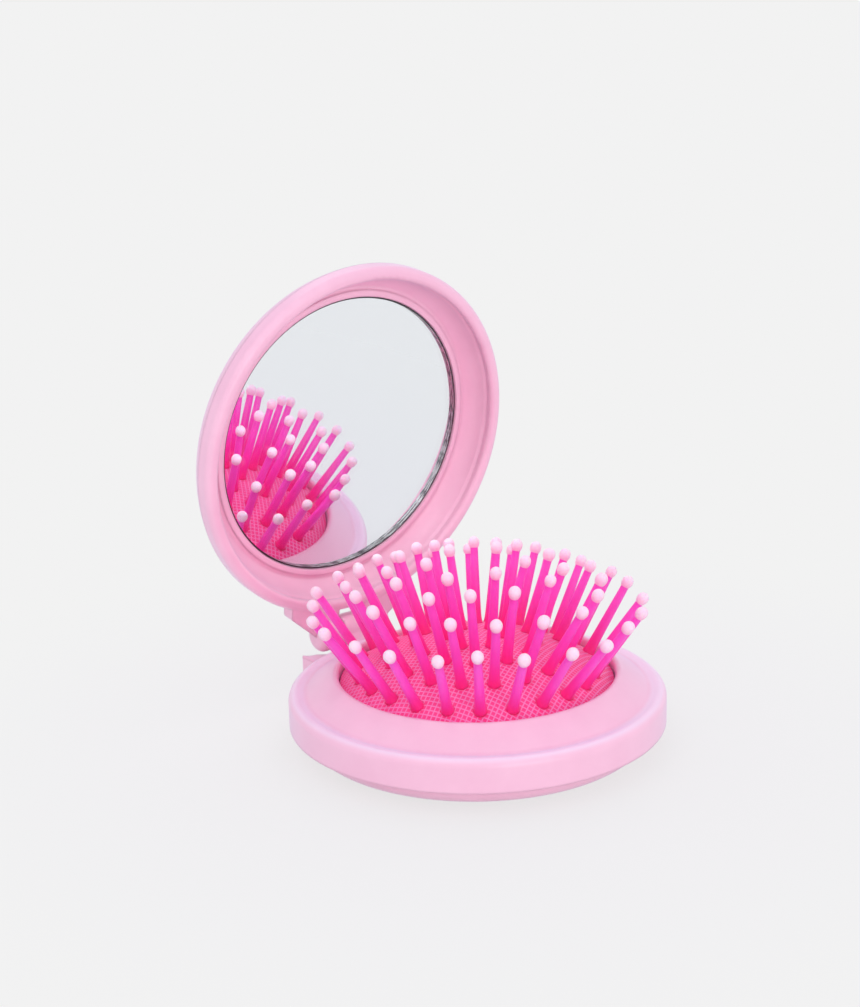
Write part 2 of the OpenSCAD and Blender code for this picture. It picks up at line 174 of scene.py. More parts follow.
def bump(tree, shader, height, strength, distance, normal=None):
    """Lets a height socket shade the surface as relief of this depth in metres."""
    node = add(tree, "Bump", {"Height": height}, Strength=strength, Distance=distance)
    if normal is not None:
        tree.links.new(normal, node.inputs["Normal"])
    tree.links.new(node.outputs["Normal"], shader.inputs["Normal"])


print("surface helpers:", mix.__name__, smooth_range.__name__, "and", bump.__name__)

# %% [markdown]
# ## Soft-touch lacquer
#
# The case and the push plate are moulded and then sprayed with a soft-touch lacquer. It shows as a
# grain of about a tenth of a millimetre and as faint clouds where the coat is a little thicker. A
# speckled picture could give both, but two noises on Object coordinates need no map and never
# stretch. More than one material uses them, so they are a node group with two outputs.

# %% Soft-touch group
GRAINS_PER_M = 9000
CLOUDS_PER_M = 140

soft_touch = bpy.data.node_groups.new("soft_touch", "ShaderNodeTree")
for socket_name in ("Height", "Cloud"):
    soft_touch.interface.new_socket(socket_name, in_out="OUTPUT", socket_type="NodeSocketFloat")
place = own_place(soft_touch)
grain = add(soft_touch, "TexNoise", {"Vector": place}, Scale=GRAINS_PER_M, Detail=2)
cloud = add(soft_touch, "TexNoise", {"Vector": place}, Scale=CLOUDS_PER_M, Detail=3, Roughness=0.6)
outlet = soft_touch.nodes.new("NodeGroupOutput")
soft_touch.links.new(grain.outputs["Fac"], outlet.inputs["Height"])
soft_touch.links.new(cloud.outputs["Fac"], outlet.inputs["Cloud"])
print("group outputs:", ", ".join(s.name for s in soft_touch.interface.items_tree))

# %% [markdown]
# ## A painted highlight along the bead
#
# A bead runs round the top of the base's wall, and its colour is made paler there: a painted
# highlight, where a light from above would catch its crest. It could be painted on the mesh, but
# the bead is a plain ring, so a mask from height and distance to the axis finds it: one soft step
# upwards, one at the ring's inside and one at its outside.

# %% Painted bead highlight
BEAD_HEIGHTS = (7.5 * mm, 9 * mm)
BEAD_INSIDE = (29.3 * mm, 30.3 * mm)
BEAD_OUTSIDE = (32.4 * mm, 31.6 * mm)


def painted_bead_highlight(tree):
    """1 along the bead round the base and 0 elsewhere, as a socket."""
    place = own_place(tree)
    flat = add(tree, "Mapping", {"Vector": place}, Scale=(1, 1, 0))
    radius = length(tree, flat.outputs["Vector"])
    height = add(tree, "SeparateXYZ", {"Vector": place}).outputs["Z"]
    mask = smooth_range(tree, height, *BEAD_HEIGHTS)
    for step in (BEAD_INSIDE, BEAD_OUTSIDE):
        mask = calc(tree, "MULTIPLY", mask, smooth_range(tree, radius, *step))
    return mask


print("bead from", round(BEAD_INSIDE[0] / mm, 1), "to", round(BEAD_OUTSIDE[0] / mm, 1), "mm")

# %% [markdown]
# ## The lacquered finishes
#
# Each finish lies between two close pinks, picked by the clouds. A thin coat gives the soft shine
# and a bluish sheen the paler look at grazing angles. Real moulded edges are never sharp. They
# could be bevelled in the mesh, but the case keeps its CAD mesh, so a Bevel node bends only the
# shading there.

# %% Lacquered finishes
CLOUD_EDGE = (0.3, 0.7)
EDGE_ROUND = 0.7 * mm
GRAIN_DEPTH = 0.02 * mm
LACQUER = {"Roughness": 0.42, "IOR": 1.45, "Coat_Weight": 0.5, "Coat_Roughness": 0.28,
           "Sheen_Weight": 0.4, "Sheen_Roughness": 0.4, "Sheen_Tint": srgb("DCDCFF")}


def soft_touch_finish(name, thin, thick, painted_highlight=None, **values):
    """A lacquered plastic between two close colours, with grain, softened edges and, if given, a
    painted highlight along the bead.
    """
    mat, tree, shader = principled(name, **values)
    coat = tree.nodes.new("ShaderNodeGroup")
    coat.node_tree = soft_touch
    tint = smooth_range(tree, coat.outputs["Cloud"], *CLOUD_EDGE)
    colour = mix(tree, tint, srgb(thin), srgb(thick))
    # A paler colour laid along the bead is a painted highlight.
    if painted_highlight:
        colour = mix(tree, painted_bead_highlight(tree), colour, srgb(painted_highlight))
    tree.links.new(colour, shader.inputs["Base Color"])
    edges = add(tree, "Bevel", Radius=EDGE_ROUND)
    edges.samples = 6
    bump(tree, shader, coat.outputs["Height"], strength=0.1, distance=GRAIN_DEPTH,
         normal=edges.outputs["Normal"])
    return mat


shell_mat = soft_touch_finish("shell_pink", "F8C5DA", "F5C0D6", **LACQUER)
# The base's lacquer has a painted highlight along its bead.
base_mat = soft_touch_finish("base_pink", "F8C5DA", "F5C0D6", painted_highlight="F8DCEE", **LACQUER)
plate_mat = soft_touch_finish("plate_pink", "F08CC0", "EC86BC", Roughness=0.45, IOR=1.45)
print("lacquered finishes:", shell_mat.name, base_mat.name, plate_mat.name)

# %% [markdown]
# ## Rubber with a woven-looking mesh
#
# The dome is hot pink rubber with fine raised lines that cross each other. They could be
# modelled, but with a line every 0.8 mm that is far too many faces. Instead two ping-pong waves
# run along turned X and Y, and near the foot of either wave the rubber is raised and paler. Round
# each pin the rubber is drawn in, and a darker pink is painted in a thin ring there: painted shade
# at the pin's root. The mesh carries the distance to the nearest pin, in millimetres, as an
# attribute for that.

# %% Cushion rubber
LINE_GAP = 0.8 * mm
LINE_TURN = math.radians(-26)
LINE_EDGE = (0.18, 0.08)
LINE_DEPTH = 0.1 * mm
ROOT_SHADE_EDGE = (0.95, 1.3)

rubber_mat, tree, shader = principled("cushion_rubber", Roughness=0.5, IOR=1.45)
turned = add(tree, "Mapping", {"Vector": own_place(tree)}, Rotation=(0, 0, LINE_TURN),
             Scale=(1 / LINE_GAP,) * 3)
parts = add(tree, "SeparateXYZ", {"Vector": turned.outputs["Vector"]})
lines = [smooth_range(tree, calc(tree, "PINGPONG", parts.outputs[axis], 0.5), *LINE_EDGE)
         for axis in "XY"]
raised = calc(tree, "MAXIMUM", *lines)
rubber = mix(tree, raised, srgb("FF4492"), srgb("FF8AC8"))
# A darker pink in a thin ring round each pin's root is painted shade where the rubber dips.
near_pin = tree.nodes.new("ShaderNodeAttribute")
near_pin.attribute_name = "root_distance"
past_root_shade = smooth_range(tree, near_pin.outputs["Fac"], *ROOT_SHADE_EDGE)
tree.links.new(mix(tree, past_root_shade, srgb("E92E78"), rubber), shader.inputs["Base Color"])
bump(tree, shader, raised, strength=0.5, distance=LINE_DEPTH)
print("rubber with", len(lines), "sets of lines")

# %% [markdown]
# ## Pin plastic
#
# A pin is one soft magenta moulding, more orange-pink at its root, dipped pale pink at its ball.
# The dip is also painted paler towards the top of the ball, which is painted highlight.
# Shaft and ball could be two materials, but then the dip would end in a hard facet edge. The
# second coordinate of the pin's UV map runs from 0 at the root to 1 at the tip, and a colour ramp
# reads it. Light enters such plastic a little, so it gets some subsurface scattering.

# %% Pin plastic
SHAFT_END = 0.89
BALL_START = 0.905
FLECKS_PER_M = 2600
FLECK_DEPTH = 0.05 * mm
# The last stop, paler than the ball's first one, paints a highlight on the top of the ball.
PIN_COLOURS = ((0.0, "FF3690"), (0.12, "FF3AA6"), (0.4, "FF4CC2"), (SHAFT_END, "FC5CD0"),
               (BALL_START, "FACFE2"), (1.0, "FCDFEC"))

pin_mat, tree, shader = principled("pin_plastic", Roughness=0.38, IOR=1.46,
                                   Subsurface_Weight=0.5, Subsurface_Scale=1.0,
                                   Subsurface_Radius=(0.9 * mm, 0.4 * mm, 0.6 * mm))
along = add(tree, "SeparateXYZ", {"Vector": own_map(tree)})
ramp = add(tree, "ValToRGB", {"Fac": along.outputs["Y"]})
for at, colour in PIN_COLOURS[2:]:
    ramp.color_ramp.elements.new(at)
for element, (at, colour) in zip(ramp.color_ramp.elements, PIN_COLOURS):
    element.position = at
    element.color = srgb(colour)
tree.links.new(ramp.outputs["Color"], shader.inputs["Base Color"])
fleck = add(tree, "TexNoise", {"Vector": own_place(tree)}, Scale=FLECKS_PER_M, Detail=2)
bump(tree, shader, fleck.outputs["Fac"], strength=0.12, distance=FLECK_DEPTH)
print("pin ramp with", len(ramp.color_ramp.elements), "stops")

# %% [markdown]
# ## Glass, silvering, steel and foam
#
# A mirror is clear glass with a bright metal film behind it. One polished metal disc would also
# mirror, but the glass adds its own faint reflection and the depth that shows at the edge. The
# hinge pin is drawn wire, of which one end shows, and the pad behind the mirror is foam.

# %% Plain materials
glass_mat = principled("mirror_glass", Base_Color=srgb("FDFEFE"), Roughness=0.0, IOR=1.5,
                       Transmission_Weight=1.0)[0]
silver_mat = principled("mirror_silver", Base_Color=srgb("F6F7FB"), Roughness=0.0, Metallic=1.0)[0]
steel_mat = principled("hinge_steel", Base_Color=srgb("C9C9CC"), Roughness=0.28, Metallic=1.0)[0]
tape_mat = principled("foam_tape", Base_Color=srgb("E6E4E0"), Roughness=0.8)[0]
print("plain materials:", ", ".join(m.name for m in (glass_mat, silver_mat, steel_mat, tape_mat)))

# %% [markdown]
# ## The ground edge of the mirror
#
# The edge of a cut mirror is ground: grey, with bright and dark chips along it, and a dark line
# of backing paint at its front. Real chips could be cut into the mesh, but they are finer than
# its faces, so they are a noise, stretched along the edge by the edge's UV map in millimetres.

# %% Ground edge
CHIP_STRETCH = (0.45, 2.2, 1)
CHIP_EDGE = (0.44, 0.54)
PAINT_LINE = 0.06

ground_mat, tree, shader = principled("ground_edge", Metallic=0.6, Roughness=0.3)
edge_map = own_map(tree)
stretched = add(tree, "Mapping", {"Vector": edge_map}, Scale=CHIP_STRETCH)
chips = add(tree, "TexNoise", {"Vector": stretched.outputs["Vector"]}, Scale=1, Detail=3)
chipped = smooth_range(tree, chips.outputs["Fac"], *CHIP_EDGE)
across = add(tree, "SeparateXYZ", {"Vector": edge_map}).outputs["Y"]
behind_paint = smooth_range(tree, across, 0.0, PAINT_LINE)
ground = mix(tree, chipped, srgb("50505A"), srgb("E8EAEE"))
tree.links.new(mix(tree, behind_paint, srgb("4B464B"), ground), shader.inputs["Base Color"])
print("paint line", PAINT_LINE, "mm wide")

# %% [markdown]
# ## A finish for every CAD node
#
# The record names a material slot for each node. Each node could be dressed by its name, but one
# loop over the slots misses none, so no plain solid can show; that includes the nodes which finer
# pieces replace further on. The base shell then takes the lacquer with a painted highlight on its
# bead.

# %% Materials on the CAD nodes
SLOT_MATERIALS = {
    "shell": shell_mat, "plate": plate_mat, "cushion": rubber_mat, "pins": pin_mat,
    "steel": steel_mat, "glass": glass_mat, "silvering": silver_mat, "tape": tape_mat,
}
for entry in frame["record"]["subparts"]:
    mesh = nodes[entry["node"]].data
    mesh.materials.clear()
    mesh.materials.append(SLOT_MATERIALS[entry["material_slot"]])
nodes["base_shell"].data.materials[0] = base_mat
print("slots:", ", ".join(sorted(SLOT_MATERIALS)))

# %% [markdown]
# ## Turned pieces
#
# Pins, dome and mirror are all turned forms. Cylinders and spheres would need joining and
# trimming; a half outline, drawn as a chain of edges in the XZ plane and spun once round Z, gives
# each as one closed skin. Where the outline starts or ends on the axis, the spun points meet in
# one place and are merged, and then the faces are turned outwards.

# %% Spin helper
MERGE_SPUN = 1e-7


def spin_outline(bm, outline, steps, ring=False):
    """Spins points (radius, height) in mm about Z and gives the new vertices and faces."""
    old = set(bm.verts) | set(bm.faces)
    verts = [bm.verts.new((r * mm, 0, z * mm)) for r, z in outline]
    ends = verts[1:] + verts[:1] if ring else verts[1:]
    edges = [bm.edges.new(pair) for pair in zip(verts, ends)]
    bmesh.ops.spin(bm, geom=verts + edges, cent=(0, 0, 0), axis=(0, 0, 1), dvec=(0, 0, 0),
                   angle=2 * math.pi, steps=steps, use_merge=True, use_normal_flip=False,
                   use_duplicate=False)
    bmesh.ops.remove_doubles(bm, verts=[v for v in bm.verts if v not in old], dist=MERGE_SPUN)
    faces = [f for f in bm.faces if f not in old]
    bmesh.ops.recalc_face_normals(bm, faces=faces)
    return [v for v in bm.verts if v not in old], faces


print("spun points closer than", MERGE_SPUN, "m are merged")

# %% [markdown]
# ## From mesh to piece
#
# A turned mesh is shaded smooth, with creases where it has real corners. They could be marked edge
# by edge, but here every corner is sharper than 35 degrees and every curve is finer, so the angle
# finds them.

# %% Piece helper
SHARP_FROM = math.radians(35)


def finish_piece(bm, name, material, body, slot_name, *replaced):
    """Makes a smooth object of the mesh, riding on a body in place of CAD nodes."""
    for face in bm.faces:
        face.smooth = True
    mesh = bpy.data.meshes.new(name)
    bm.to_mesh(mesh)
    bm.free()
    mesh.set_sharp_from_angle(angle=SHARP_FROM)
    mesh.materials.append(material)
    obj = bpy.data.objects.new(name, mesh)
    bpy.context.collection.objects.link(obj)
    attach(obj, body)
    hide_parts(*replaced)
    return obj


print("creases stay sharp from", round(math.degrees(SHARP_FROM)), "degrees")

# %% [markdown]
# ## The back of the lid
#
# The dome keeps its CAD shape. Where its triangles meet in one point at the middle, the normals
# that came with the CAD mesh lean over and leave a dark mark. A new dome could be spun, but it
# would have to repeat the seat of the mirror pad too. So a copy of the mesh is merged, loses
# those normals and is shaded by its faces.

# %% Lid back
bm = bmesh.new()
bm.from_mesh(nodes["lid_back"].data)
bmesh.ops.remove_doubles(bm, verts=bm.verts, dist=1e-6)
bmesh.ops.dissolve_degenerate(bm, edges=bm.edges, dist=1e-7)
lid_back = finish_piece(bm, "lid_back_dressed", shell_mat, "lid", "shell", "lid_back")
if lid_back.data.has_custom_normals:
    lid_back.data.attributes.remove(lid_back.data.attributes["custom_normal"])
print("lid back of", len(lid_back.data.polygons), "faces")

# %% [markdown]
# ## The dome that the pins stand on
#
# The rubber dome is a piece of a sphere, and its radius follows from its width and rise. The sizes
# could be measured on the CAD mesh, but a few typed ones are easier to follow. They are in
# millimetres and repeat those of the CAD source, so that the dressed rubber lies where the solid
# one does.

# %% Dome
CUSHION_R = 23.5
CUSHION_EDGE_Z = 11.45
CUSHION_RISE = 7.6
CUSHION_T = 0.9
SPHERE_R = (CUSHION_R ** 2 + CUSHION_RISE ** 2) / (2 * CUSHION_RISE)
SPHERE_Z = CUSHION_EDGE_Z + CUSHION_RISE - SPHERE_R


def dome_z(r):
    """Height of the cushion's surface at a distance from the axis."""
    return SPHERE_Z + math.sqrt(SPHERE_R ** 2 - r ** 2)


print("dome radius", round(SPHERE_R, 2), "mm, top at", round(dome_z(0), 2), "mm")

# %% [markdown]
# ## One pin
#
# A pin is moulded in one: a flat head under the rubber, a neck, a flared root, a tapering shaft
# and a ball, which is an egg with its narrow end at the shaft. A cone with a sphere on it would
# show a seam at the neck; one spun outline runs over all of it. The points of the shaft crowd
# towards the root, where the flare is. The pins are 0.3 mm longer than the CAD ones, and their
# balls a little smaller.

# %% Outline of a pin
PIN_LEN = 14.2
HEAD_R, HEAD_LOW, HEAD_HIGH = 1.3, -1.52, -1.02
ROOT_R, ROOT_LOW = 0.95, -0.4
FLARE, FLARE_REACH = 0.17, 0.7
SHAFT_STEPS, SHAFT_CROWD, SHAFT_TAPER = 12, 1.5, 0.9
BALL_TOP, BALL_LOW = 1.08, 1.45
NECK_ANGLE = 47
BALL_FIRST, BALL_STEP = -39, 10


def pin_outline(ball):
    """Half outline of a pin with this ball radius, and the height of the neck below the ball."""
    outline = [(0, HEAD_LOW), (HEAD_R, HEAD_LOW), (HEAD_R, HEAD_HIGH), (ROOT_R, HEAD_HIGH),
               (ROOT_R, ROOT_LOW)]
    neck_r = ball * math.cos(math.radians(NECK_ANGLE))
    neck_z = PIN_LEN - ball * BALL_LOW * math.sin(math.radians(NECK_ANGLE))
    for i in range(SHAFT_STEPS + 1):
        t = (i / SHAFT_STEPS) ** SHAFT_CROWD
        flare = FLARE * math.exp(-t * neck_z / FLARE_REACH)
        outline.append((ROOT_R + (neck_r - ROOT_R) * t ** SHAFT_TAPER + flare, t * neck_z))
    for angle in range(BALL_FIRST, 90, BALL_STEP):
        a = math.radians(angle)
        stretch = BALL_TOP if angle > 0 else BALL_LOW
        outline.append((ball * math.cos(a), PIN_LEN + ball * stretch * math.sin(a)))
    outline.append((0, PIN_LEN + ball * BALL_TOP))
    return outline, neck_z


print("pin outline of", len(pin_outline(1)[0]), "points")

# %% [markdown]
# ## The map along a pin
#
# The colour ramp needs to know how far up the pin a point is. An unwrapped map could hold that,
# but here it is plain from the height before the pin is tilted, so the map is written while the
# pin still stands on the origin: the shaft takes the part up to 0.89 and the ball the last tenth.

# %% Adding a pin to a mesh
PIN_STEPS = 28
BALL_PART = 0.1


def add_pin(bm, uv_layer, at, ball):
    """Adds one pin with its UV map to a mesh and stands it in its place."""
    outline, neck_z = pin_outline(ball)
    top = outline[-1][1]
    verts, faces = spin_outline(bm, outline, PIN_STEPS)
    for face in faces:
        for loop in face.loops:
            z = loop.vert.co.z / mm
            if z <= neck_z + 1e-4:
                v = SHAFT_END * max(z, 0) / neck_z
            else:
                v = max(1 - BALL_PART + BALL_PART * (z - neck_z) / (top - neck_z), BALL_START)
            around = math.atan2(loop.vert.co.y, loop.vert.co.x) / (2 * math.pi) % 1
            loop[uv_layer].uv = (around, v)
    bmesh.ops.transform(bm, matrix=at, verts=verts)


print("pins are spun in", PIN_STEPS, "steps")

# %% [markdown]
# ## The small differences between pins
#
# No two moulded pins stand alike, so each is turned a few degrees more, in its lean and sideways.
# Random numbers would do, but smooth noise read at fixed places gives the same brush on every
# run. Its two starting places were picked among many for the look of the whole bed, and so that
# the pins stay clear of the push plate when the lid is shut.

# %% Small differences
SWAY = 3.0
LEAN_PLACE, ASIDE_PLACE = 811, 637


def vary(seed, amount):
    """A smooth pseudo-random value to either side of 0, seldom much past this amount."""
    return 2 * amount * noise.noise(Vector((seed * 1.37, seed * 0.71 + 3.1, 0.5)))


def pin_seed(k, j):
    """Place in the noise for pin j of ring k."""
    return 31 * k + 1.9 * j


print("the first pin leans", round(vary(pin_seed(0, 0) + LEAN_PLACE, SWAY), 1), "degrees more")

# %% [markdown]
# ## Where each pin stands
#
# The pins stand in four rings, turned against each other, and lean outwards more the further out
# they are. Rings and turns repeat the CAD source. The roots sit 0.8 mm further in, while the balls
# keep about the same distance from the axis, so the pins lean a little more. A used brush is
# combed: its pins tend to the front left, most at the hinge side. Each pin could be placed and
# turned by hand, but one product of matrices, read from right to left, does it for all: sideways,
# lean, round the ring, combed and out to the root.

# %% Place of a pin
RING_R = 21.2
RING_STEP = 5.1
RING_PINS = (24, 18, 12, 6)
RING_TURN = (6.3, 0.6, 19.5, 20.6)
RING_NAMES = ("outer", "second", "third", "core")
PIN_LEAN = 30.0
ROOT_IN = 0.8
COMB_LEAN = math.radians(3)
COMBED = Vector((-0.64, -0.77, 0)) * math.sin(COMB_LEAN)
COMB_MIDDLE, COMB_CHANGE = 1.5, 0.8


def pin_place(k, j):
    """Where pin j of ring k stands: its root on the dome, Z along the pin."""
    ring_r = RING_R - k * RING_STEP
    tip_r = ring_r + PIN_LEN * math.sin(math.radians(PIN_LEAN * ring_r / RING_R))
    r = ring_r - ROOT_IN
    seed = pin_seed(k, j)
    lean = math.asin((tip_r - r) / PIN_LEN) + math.radians(vary(seed + LEAN_PLACE, SWAY))
    aside = math.radians(vary(seed + ASIDE_PLACE, SWAY))
    turn = Matrix.Rotation(math.radians(RING_TURN[k] + j * 360 / RING_PINS[k]), 4, "Z")
    root = turn @ (Vector((r, 0, dome_z(r))) * mm)
    steeper = COMB_MIDDLE - COMB_CHANGE * root.dot(COMBED.normalized()) / (RING_R * mm)
    combed = Vector((0, 0, 1)).rotation_difference(Vector((0, 0, 1)) + COMBED * steeper)
    return (Matrix.Translation(root) @ combed.to_matrix().to_4x4() @ turn
            @ Matrix.Rotation(lean, 4, "Y") @ Matrix.Rotation(aside, 4, "X"))


print("first root at", [round(v / mm, 1) for v in pin_place(0, 0).translation], "mm")

# %% [markdown]
# ## All the pins
#
# Neighbouring pins share a body in pairs, and the six round the middle share one, so each such
# group is one piece that stands in for its CAD node. One pin could be instanced sixty times, but
# each has its own ball size, so each is spun anew. The roots are kept for the cushion.

# %% Sixty pins
BALL_R, BALL_VARY = 1.02, 0.05
roots = []


def make_pins(node, k, members):
    """One piece for the pins of a CAD node."""
    bm = bmesh.new()
    uv_layer = bm.loops.layers.uv.new("along")
    for j in members:
        at = pin_place(k, j)
        roots.append(at.translation / mm)
        add_pin(bm, uv_layer, at, BALL_R + vary(pin_seed(k, j), BALL_VARY))
    return finish_piece(bm, node + "_dressed", pin_mat, node, "pins", node)


for k in range(3):
    for i in range(RING_PINS[k] // 2):
        make_pins(f"pins_{RING_NAMES[k]}_{i + 1}", k, (2 * i, 2 * i + 1))
core = make_pins("pins_core", 3, range(RING_PINS[3]))
print(len(roots), "pins placed;", len(core.data.polygons) // RING_PINS[3], "faces each")

# %% [markdown]
# ## The cushion
#
# The dome is a rubber skin with air behind it. A cap with a Solidify modifier would lack the
# skirt that sits on the push plate, so the outline goes over the top, down the skirt and back
# along the inside, and the spun form is a closed shell. Then the points near a pin are drawn in,
# more the nearer they are, and every point keeps its distance to the nearest pin for the painted
# shade round each pin's root. It is a tight moulded dome and needs no cloth simulation. When the
# lid shuts, the push plate sinks and the cushion rides down with it.

# %% Cushion
DOME_STEPS, INSIDE_STEPS, ROUND_STEPS = 96, 12, 240
INSIDE_BACK = 0.3
DRAWN_DEPTH = 0.22
DRAWN_FROM = DRAWN_REACH = 0.9
RIM_SLACK = 0.01


def make_cushion():
    """The rubber shell as one piece on the plate."""
    bm = bmesh.new()
    layer = bm.verts.layers.float.new("root_distance")
    seat_z = CUSHION_EDGE_Z - CUSHION_T
    outline = [(CUSHION_R * i / DOME_STEPS, dome_z(CUSHION_R * i / DOME_STEPS))
               for i in range(DOME_STEPS + 1)]
    outline += [(CUSHION_R, seat_z), (CUSHION_R - CUSHION_T, seat_z)]
    inner_r = CUSHION_R - CUSHION_T - INSIDE_BACK
    outline += [(inner_r * i / INSIDE_STEPS, dome_z(inner_r * i / INSIDE_STEPS) - CUSHION_T)
                for i in range(INSIDE_STEPS, -1, -1)]
    for v in spin_outline(bm, outline, ROUND_STEPS)[0]:
        x, y = v.co.x / mm, v.co.y / mm
        near = min(math.hypot(x - p.x, y - p.y) for p in roots)
        v[layer] = near
        if v.co.z > (CUSHION_EDGE_Z - RIM_SLACK) * mm:
            drawn = max(0.0, 1 - max(near - DRAWN_FROM, 0) / DRAWN_REACH)
            v.co.z -= DRAWN_DEPTH * mm * drawn ** 2
    return finish_piece(bm, "cushion_dressed", rubber_mat, "plate", "cushion", "cushion")


cushion = make_cushion()
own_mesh(cushion)
print("cushion of", len(cushion.data.polygons), "faces")

# %% [markdown]
# ## The mirror
#
# The mirror is a glass disc with silvering behind it. Its ground edge could be a second material
# on the glass, but an opaque band that reaches a hair into the glass also shows through the
# front, as it does on a real mirror. All three are spun in the shut lid, where they are level,
# and then turned about the hinge to where the lid stands open.

# %% Helper for the mirror's pieces
HINGE = Vector((0, 36.85, 10.7)) * mm
LID_OPEN = math.radians(81)
MIRROR_Z = 15.9
MIRROR_T = 1.2
MIRROR_STEPS = 256
MAP_R = 26

opened = (Matrix.Translation(HINGE) @ Matrix.Rotation(-LID_OPEN, 4, "X")
          @ Matrix.Translation(-HINGE))


def mirror_piece(name, material, slot_name, node, outline, ring=False):
    """A turned piece of the mirror, with a UV map in mm along and across its edge."""
    bm = bmesh.new()
    uv_layer = bm.loops.layers.uv.new("along")
    verts, faces = spin_outline(bm, outline, MIRROR_STEPS, ring)
    for face in faces:
        start = math.atan2(face.calc_center_median().y, face.calc_center_median().x)
        for loop in face.loops:
            x, y, z = loop.vert.co / mm
            turn = (math.atan2(y, x) - start + math.pi) % (2 * math.pi) - math.pi + start
            loop[uv_layer].uv = (turn * MAP_R, z - MIRROR_Z)
    bmesh.ops.transform(bm, matrix=opened, verts=verts)
    return finish_piece(bm, name, material, "lid", slot_name, node)


print("mirror opened by", round(math.degrees(LID_OPEN)), "degrees")

# %% [markdown]
# ## Glass, ground edge and silvering
#
# Two faces that share one plane speckle in a render. Pieces that touch could be joined into one
# mesh, but these three have finishes of their own. So the ground band reaches a little into the
# glass and stands a hair out at its front, and the silvering lies a hair behind it.

# %% The three pieces
GLASS_R = 25.8
GROUND_IN, GROUND_OUT = 25.74, 25.98
SILVER_R, SILVER_T = 25.7, 0.08
HAIR = 0.01
BACK_Z = MIRROR_Z + MIRROR_T

mirror_piece("mirror_glass_dressed", glass_mat, "glass", "mirror_glass",
             [(0, MIRROR_Z), (GLASS_R, MIRROR_Z), (GLASS_R, BACK_Z), (0, BACK_Z)])
mirror_piece("mirror_edge", ground_mat, "glass", "mirror_glass",
             [(GROUND_IN, MIRROR_Z - HAIR), (GROUND_OUT, MIRROR_Z - HAIR), (GROUND_OUT, BACK_Z),
              (GROUND_IN, BACK_Z)], ring=True)
mirror_piece("mirror_silver_dressed", silver_mat, "silvering", "mirror_silvering",
             [(0, BACK_Z + HAIR), (SILVER_R, BACK_Z + HAIR), (SILVER_R, BACK_Z + SILVER_T),
              (0, BACK_Z + SILVER_T)])
print("mirror", 2 * GROUND_OUT, "mm across")

# %% [markdown]
# ## Camera
#
# The camera stands about thirty centimetres from the brush and looks down on it at about sixteen
# degrees from the front left, through a slightly long lens. It could be aimed with a Track To
# constraint, but a matrix from the three angles also holds the small roll. The focal length is
# worked out in pixels of a frame 1007 high, the longer side, to which the sensor belongs.

# %% Camera
AZ, PITCH, ROLL = math.radians(-38.58), math.radians(15.70), math.radians(-1.44)
DISTANCE, TO_RIGHT, TO_TOP, RAISED = 312.78, -7.30, 39.62, 1.45
FOCAL_PX, FRAME_PX, SENSOR = 1800, 1007, 36

forward = Vector((-math.sin(AZ) * math.cos(PITCH), math.cos(AZ) * math.cos(PITCH), -math.sin(PITCH)))
right = Vector((math.cos(AZ), math.sin(AZ), 0))
up = right.cross(forward)
side = right * math.cos(ROLL) + up * math.sin(ROLL)
top = -right * math.sin(ROLL) + up * math.cos(ROLL)
eye = (-forward * DISTANCE + right * TO_RIGHT + up * TO_TOP + Vector((0, 0, RAISED))) * mm
camera_data = bpy.data.cameras.new("camera")
camera_data.sensor_width = SENSOR
camera_data.lens = FOCAL_PX * SENSOR / FRAME_PX
camera = bpy.data.objects.new("camera", camera_data)
bpy.context.collection.objects.link(camera)
camera.matrix_world = Matrix((
    (side.x, top.x, -forward.x, eye.x),
    (side.y, top.y, -forward.y, eye.y),
    (side.z, top.z, -forward.z, eye.z),
    (0, 0, 0, 1)))
bpy.context.scene.camera = camera
print("camera at", [round(v, 4) for v in eye], "with a lens of", round(camera_data.lens, 1), "mm")

# %% [markdown]
# ## Room
#
# A pale room lights the brush from all sides, a little cooler from above than from the side.
# Four walls and a ceiling could give that, but the world's colour by height does it without
# noise. To the camera, and in metal and glass, the room looks plain light grey instead: the kind
# of ray chooses between the two.

# %% Room
PALE = srgb("F2F2F2")
ROOM_LIGHT = 1.03
COOL_FROM = 0.9


def seen_directly(tree):
    """1 for camera, glossy and transmission rays."""
    rays = tree.nodes.new("ShaderNodeLightPath")
    value = rays.outputs["Is Camera Ray"]
    for kind in ("Is Glossy Ray", "Is Transmission Ray"):
        value = calc(tree, "MAXIMUM", value, rays.outputs[kind])
    return value


world = bpy.data.worlds.new("room")
bpy.context.scene.world = world
world.use_nodes = True
tree = world.node_tree
way = add(tree, "SeparateXYZ", {"Vector": tree.nodes.new("ShaderNodeTexCoord").outputs["Generated"]})
upward = smooth_range(tree, way.outputs["Z"], 0.0, COOL_FROM)
light = mix(tree, upward, srgb("FFF6F9"), srgb("D4D2E4"))
room = add(tree, "Background", {"Color": light}, Strength=ROOM_LIGHT)
plain = add(tree, "Background", Color=PALE, Strength=1.0)
choose = add(tree, "MixShader", {"Fac": seen_directly(tree), 1: room.outputs[0],
                                 2: plain.outputs[0]})
tree.links.new(choose.outputs[0], tree.nodes["World Output"].inputs["Surface"])
print("room light", ROOM_LIGHT)

# %% [markdown]
# ## Floor
#
# The floor is a wide matt disc. A matt floor alone would never have exactly the room's grey, and
# its far rim would show as a line. So to the eye it glows in the room's grey, with a share of
# matt floor that takes the shadow and fades out away from the brush. Seen from below it is
# clear, so that the back of the base can be looked at.

# %% Floor material
SHADOW_SHARE = 0.2
SHADOW_FADE = (0.03, 0.12)

